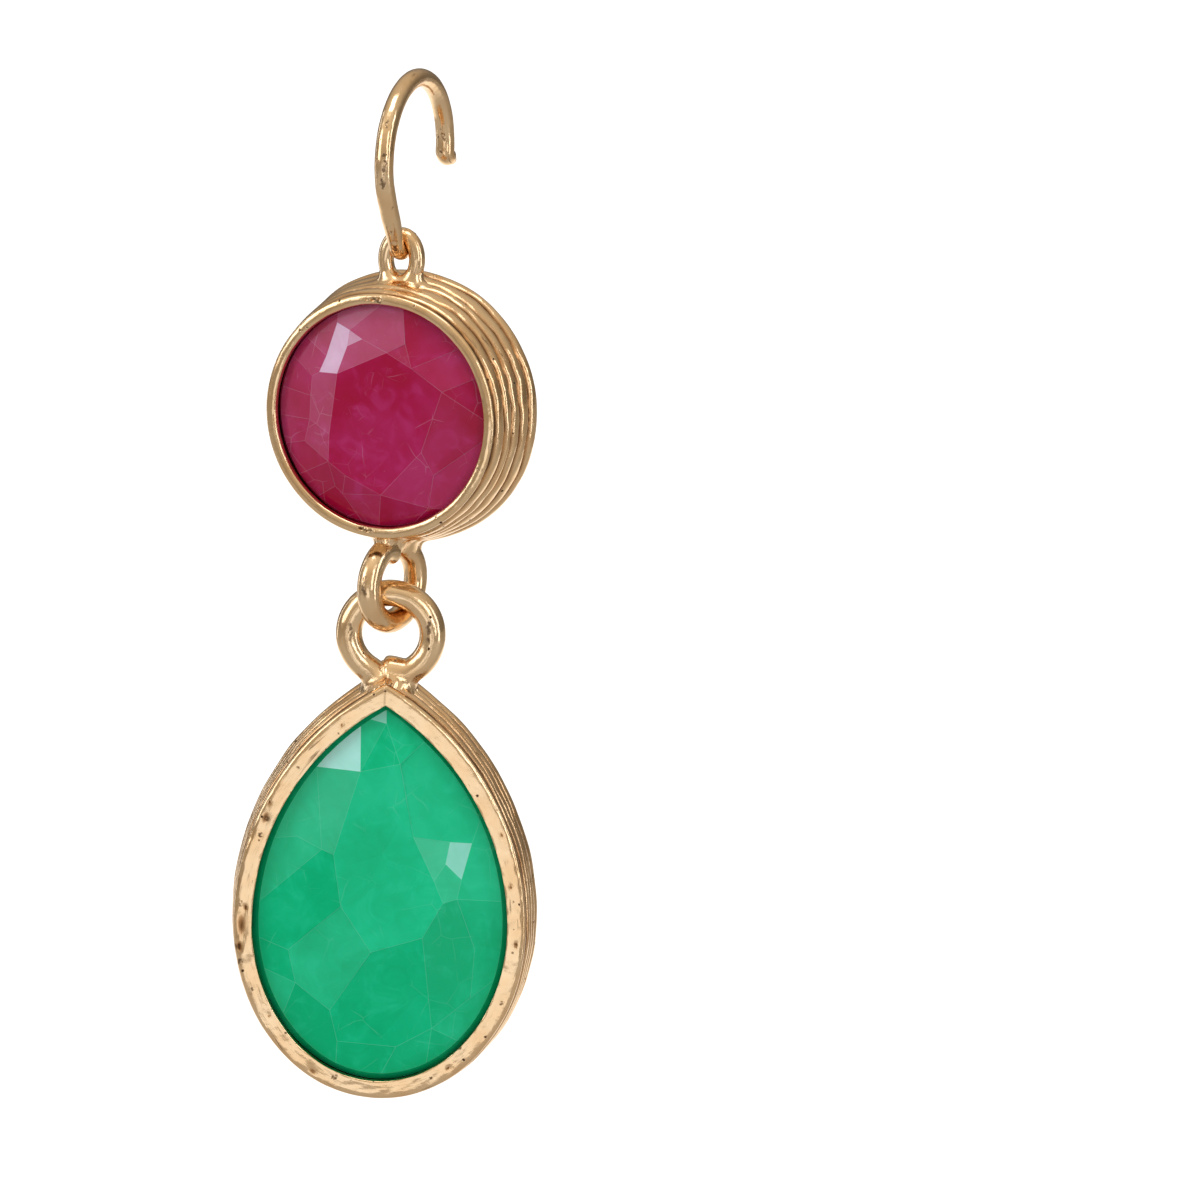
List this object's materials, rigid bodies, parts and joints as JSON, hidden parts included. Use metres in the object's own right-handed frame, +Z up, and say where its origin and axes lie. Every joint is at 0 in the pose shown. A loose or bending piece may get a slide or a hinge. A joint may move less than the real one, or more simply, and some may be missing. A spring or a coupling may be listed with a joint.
{
  "type": "drop earring",
  "caption": "Drop earring: an open ear hook, a round faceted stone in a ridged setting, and a pear-shaped faceted stone hanging below it on linked rings.",
  "frame": {"origin": "highest point inside the hook's arch, where it sits in the ear", "axes": "+Z up along the hanging earring, -Y the way the round stone faces, +X to the right seen from the front"},
  "size_m": [0.0166, 0.0111, 0.0574],
  "materials": {
    "hook_gold": "soft polished gold plate with darkened specks",
    "setting_gold": "soft polished gold plate, antiqued in its grooves",
    "red_stone": "polished facets, milky red with pale veins",
    "green_stone": "polished facets, milky green"
  },
  "bodies": {
    "hook": {"ear_hook": "hook_gold"},
    "round_drop": {"round_setting": "setting_gold", "round_stone": "red_stone"},
    "pear_drop": {"pear_setting": "setting_gold", "pear_stone": "green_stone"}
  },
  "joints": [
    {"name": "round_swing", "type": "hinge", "parent": "hook", "child": "round_drop", "pos_m": [0, -0.00142, -0.00788], "axis": [1, 0, 0], "range_deg": [-60, 60]},
    {"name": "pear_swing", "type": "hinge", "parent": "round_drop", "child": "pear_drop", "pos_m": [0, -0.00142, -0.02764], "axis": [1, 0, 0], "range_deg": [-60, 60]}
  ]
}
